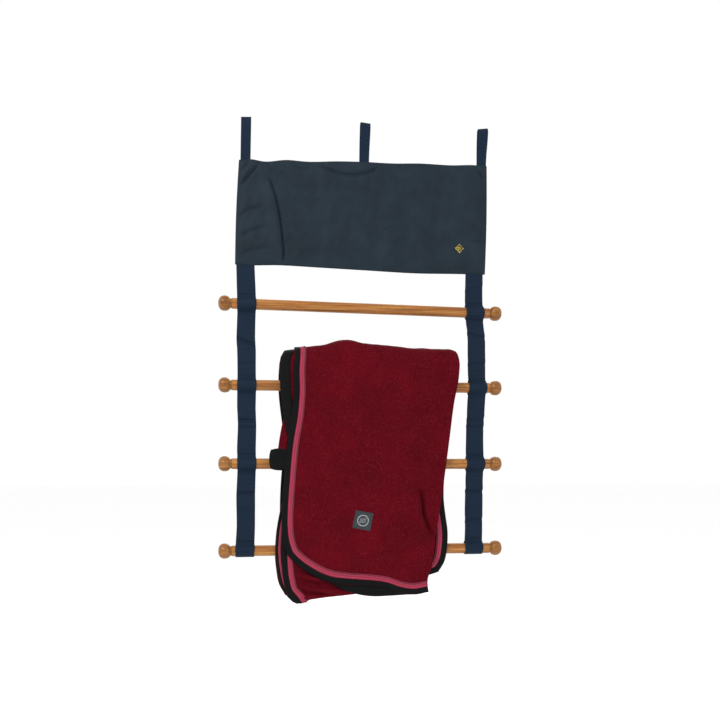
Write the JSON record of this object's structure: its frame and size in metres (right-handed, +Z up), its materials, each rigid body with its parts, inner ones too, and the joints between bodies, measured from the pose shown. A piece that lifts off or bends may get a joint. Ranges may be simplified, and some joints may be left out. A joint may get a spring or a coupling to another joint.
{
  "type": "horse rug on a hanging rug rack",
  "caption": "Fleece horse rug with bound, braided edges, folded over a pole of a hanging rug rack: fabric header on webbing loops, webbing straps and ball-ended wooden poles.",
  "frame": {"origin": "the hook seat at the top inside of the centre hanging loop", "axes": "+X along the poles to the right as seen from the front, +Y to the wall behind, +Z up"},
  "size_m": [0.7544, 0.0868, 1.2639],
  "materials": {
    "header_cloth": "matte",
    "interlining": "matte",
    "webbing": "satin",
    "emblem_thread": "satin",
    "pole_wood": "gloss",
    "steel_stud": "satin",
    "brass_insert": "satin",
    "rug_fleece": "matte",
    "rug_binding": "matte",
    "rug_braid": "satin",
    "rug_label": "satin"
  },
  "bodies": {
    "header": {"header_front_cloth": "header_cloth", "header_back_cloth": "header_cloth", "header_interlining": "interlining", "header_emblem": "emblem_thread", "hanging_loop_left": "webbing", "hanging_loop_centre": "webbing", "hanging_loop_right": "webbing", "left_strap_tail": "webbing", "right_strap_tail": "webbing"},
    "upper_straps": {"left_strap_upper": "webbing", "right_strap_upper": "webbing"},
    "lower_straps": {"left_strap_lower": "webbing", "right_strap_lower": "webbing"},
    "pole_1_turned": {"pole_1": "pole_wood", "fixed_knob_1": "pole_wood", "pole_stud_1": "steel_stud"},
    "insert_1": {"knob_insert_1": "brass_insert"},
    "knob_1": {"screw_knob_1": "pole_wood"},
    "pole_2_turned": {"pole_2": "pole_wood", "fixed_knob_2": "pole_wood", "pole_stud_2": "steel_stud"},
    "insert_2": {"knob_insert_2": "brass_insert"},
    "knob_2": {"screw_knob_2": "pole_wood"},
    "pole_3_turned": {"pole_3": "pole_wood", "fixed_knob_3": "pole_wood", "pole_stud_3": "steel_stud"},
    "insert_3": {"knob_insert_3": "brass_insert"},
    "knob_3": {"screw_knob_3": "pole_wood"},
    "pole_4_turned": {"pole_4": "pole_wood", "fixed_knob_4": "pole_wood", "pole_stud_4": "steel_stud"},
    "insert_4": {"knob_insert_4": "brass_insert"},
    "knob_4": {"screw_knob_4": "pole_wood"},
    "rug": {"rug_fleece": "rug_fleece", "rug_binding": "rug_binding", "rug_braid": "rug_braid", "rug_label": "rug_label", "rug_chest_strap": "rug_fleece", "rug_chest_tab": "rug_binding"}
  },
  "joints": [
    {"name": "header_fold", "type": "hinge", "parent": "header", "child": "upper_straps", "pos_m": [0, 0, -0.398], "axis": [1, 0, 0], "range_deg": [-90, 30]},
    {"name": "strap_fold", "type": "hinge", "parent": "upper_straps", "child": "lower_straps", "pos_m": [0, 0, -0.521], "axis": [1, 0, 0], "range_deg": [-90, 60]},
    {"name": "rug_slide", "type": "slide", "parent": "lower_straps", "child": "rug", "axis": [1, 0, 0], "range_m": [-0.035, 0.03]},
    {"name": "pole_1_turn", "type": "hinge", "parent": "upper_straps", "child": "pole_1_turned", "pos_m": [-0.004, 0, -0.488], "axis": [0.9999, 0, -0.0157], "continuous": true},
    {"name": "knob_1_travel", "type": "slide", "parent": "pole_1_turned", "child": "insert_1", "axis": [0.9999, 0, -0.0157], "range_m": [0, 0.0125]},
    {"name": "knob_1_unscrew", "type": "hinge", "parent": "insert_1", "child": "knob_1", "pos_m": [-0.004, 0, -0.488], "axis": [0.9999, 0, -0.0157], "range_deg": [0, 3600]},
    {"name": "pole_2_turn", "type": "hinge", "parent": "lower_straps", "child": "pole_2_turned", "pos_m": [-0.004, 0, -0.694], "axis": [1, 0, 0], "continuous": true},
    {"name": "knob_2_travel", "type": "slide", "parent": "pole_2_turned", "child": "insert_2", "axis": [1, 0, 0], "range_m": [0, 0.0125]},
    {"name": "knob_2_unscrew", "type": "hinge", "parent": "insert_2", "child": "knob_2", "pos_m": [-0.004, 0, -0.694], "axis": [1, 0, 0], "range_deg": [0, 3600]},
    {"name": "pole_3_turn", "type": "hinge", "parent": "lower_straps", "child": "pole_3_turned", "pos_m": [-0.004, 0, -0.898], "axis": [1, 0, 0], "continuous": true},
    {"name": "knob_3_travel", "type": "slide", "parent": "pole_3_turned", "child": "insert_3", "axis": [1, 0, 0], "range_m": [0, 0.0125]},
    {"name": "knob_3_unscrew", "type": "hinge", "parent": "insert_3", "child": "knob_3", "pos_m": [-0.004, 0, -0.898], "axis": [1, 0, 0], "range_deg": [0, 3600]},
    {"name": "pole_4_turn", "type": "hinge", "parent": "lower_straps", "child": "pole_4_turned", "pos_m": [-0.004, 0, -1.124], "axis": [1, 0, 0], "continuous": true},
    {"name": "knob_4_travel", "type": "slide", "parent": "pole_4_turned", "child": "insert_4", "axis": [1, 0, 0], "range_m": [0, 0.0125]},
    {"name": "knob_4_unscrew", "type": "hinge", "parent": "insert_4", "child": "knob_4", "pos_m": [-0.004, 0, -1.124], "axis": [1, 0, 0], "range_deg": [0, 3600]}
  ],
  "couplings": [
    {"joint": "knob_1_unscrew", "follows": "knob_1_travel", "rad_per_m": 5026.5},
    {"joint": "knob_2_unscrew", "follows": "knob_2_travel", "rad_per_m": 5026.5},
    {"joint": "knob_3_unscrew", "follows": "knob_3_travel", "rad_per_m": 5026.5},
    {"joint": "knob_4_unscrew", "follows": "knob_4_travel", "rad_per_m": 5026.5}
  ]
}
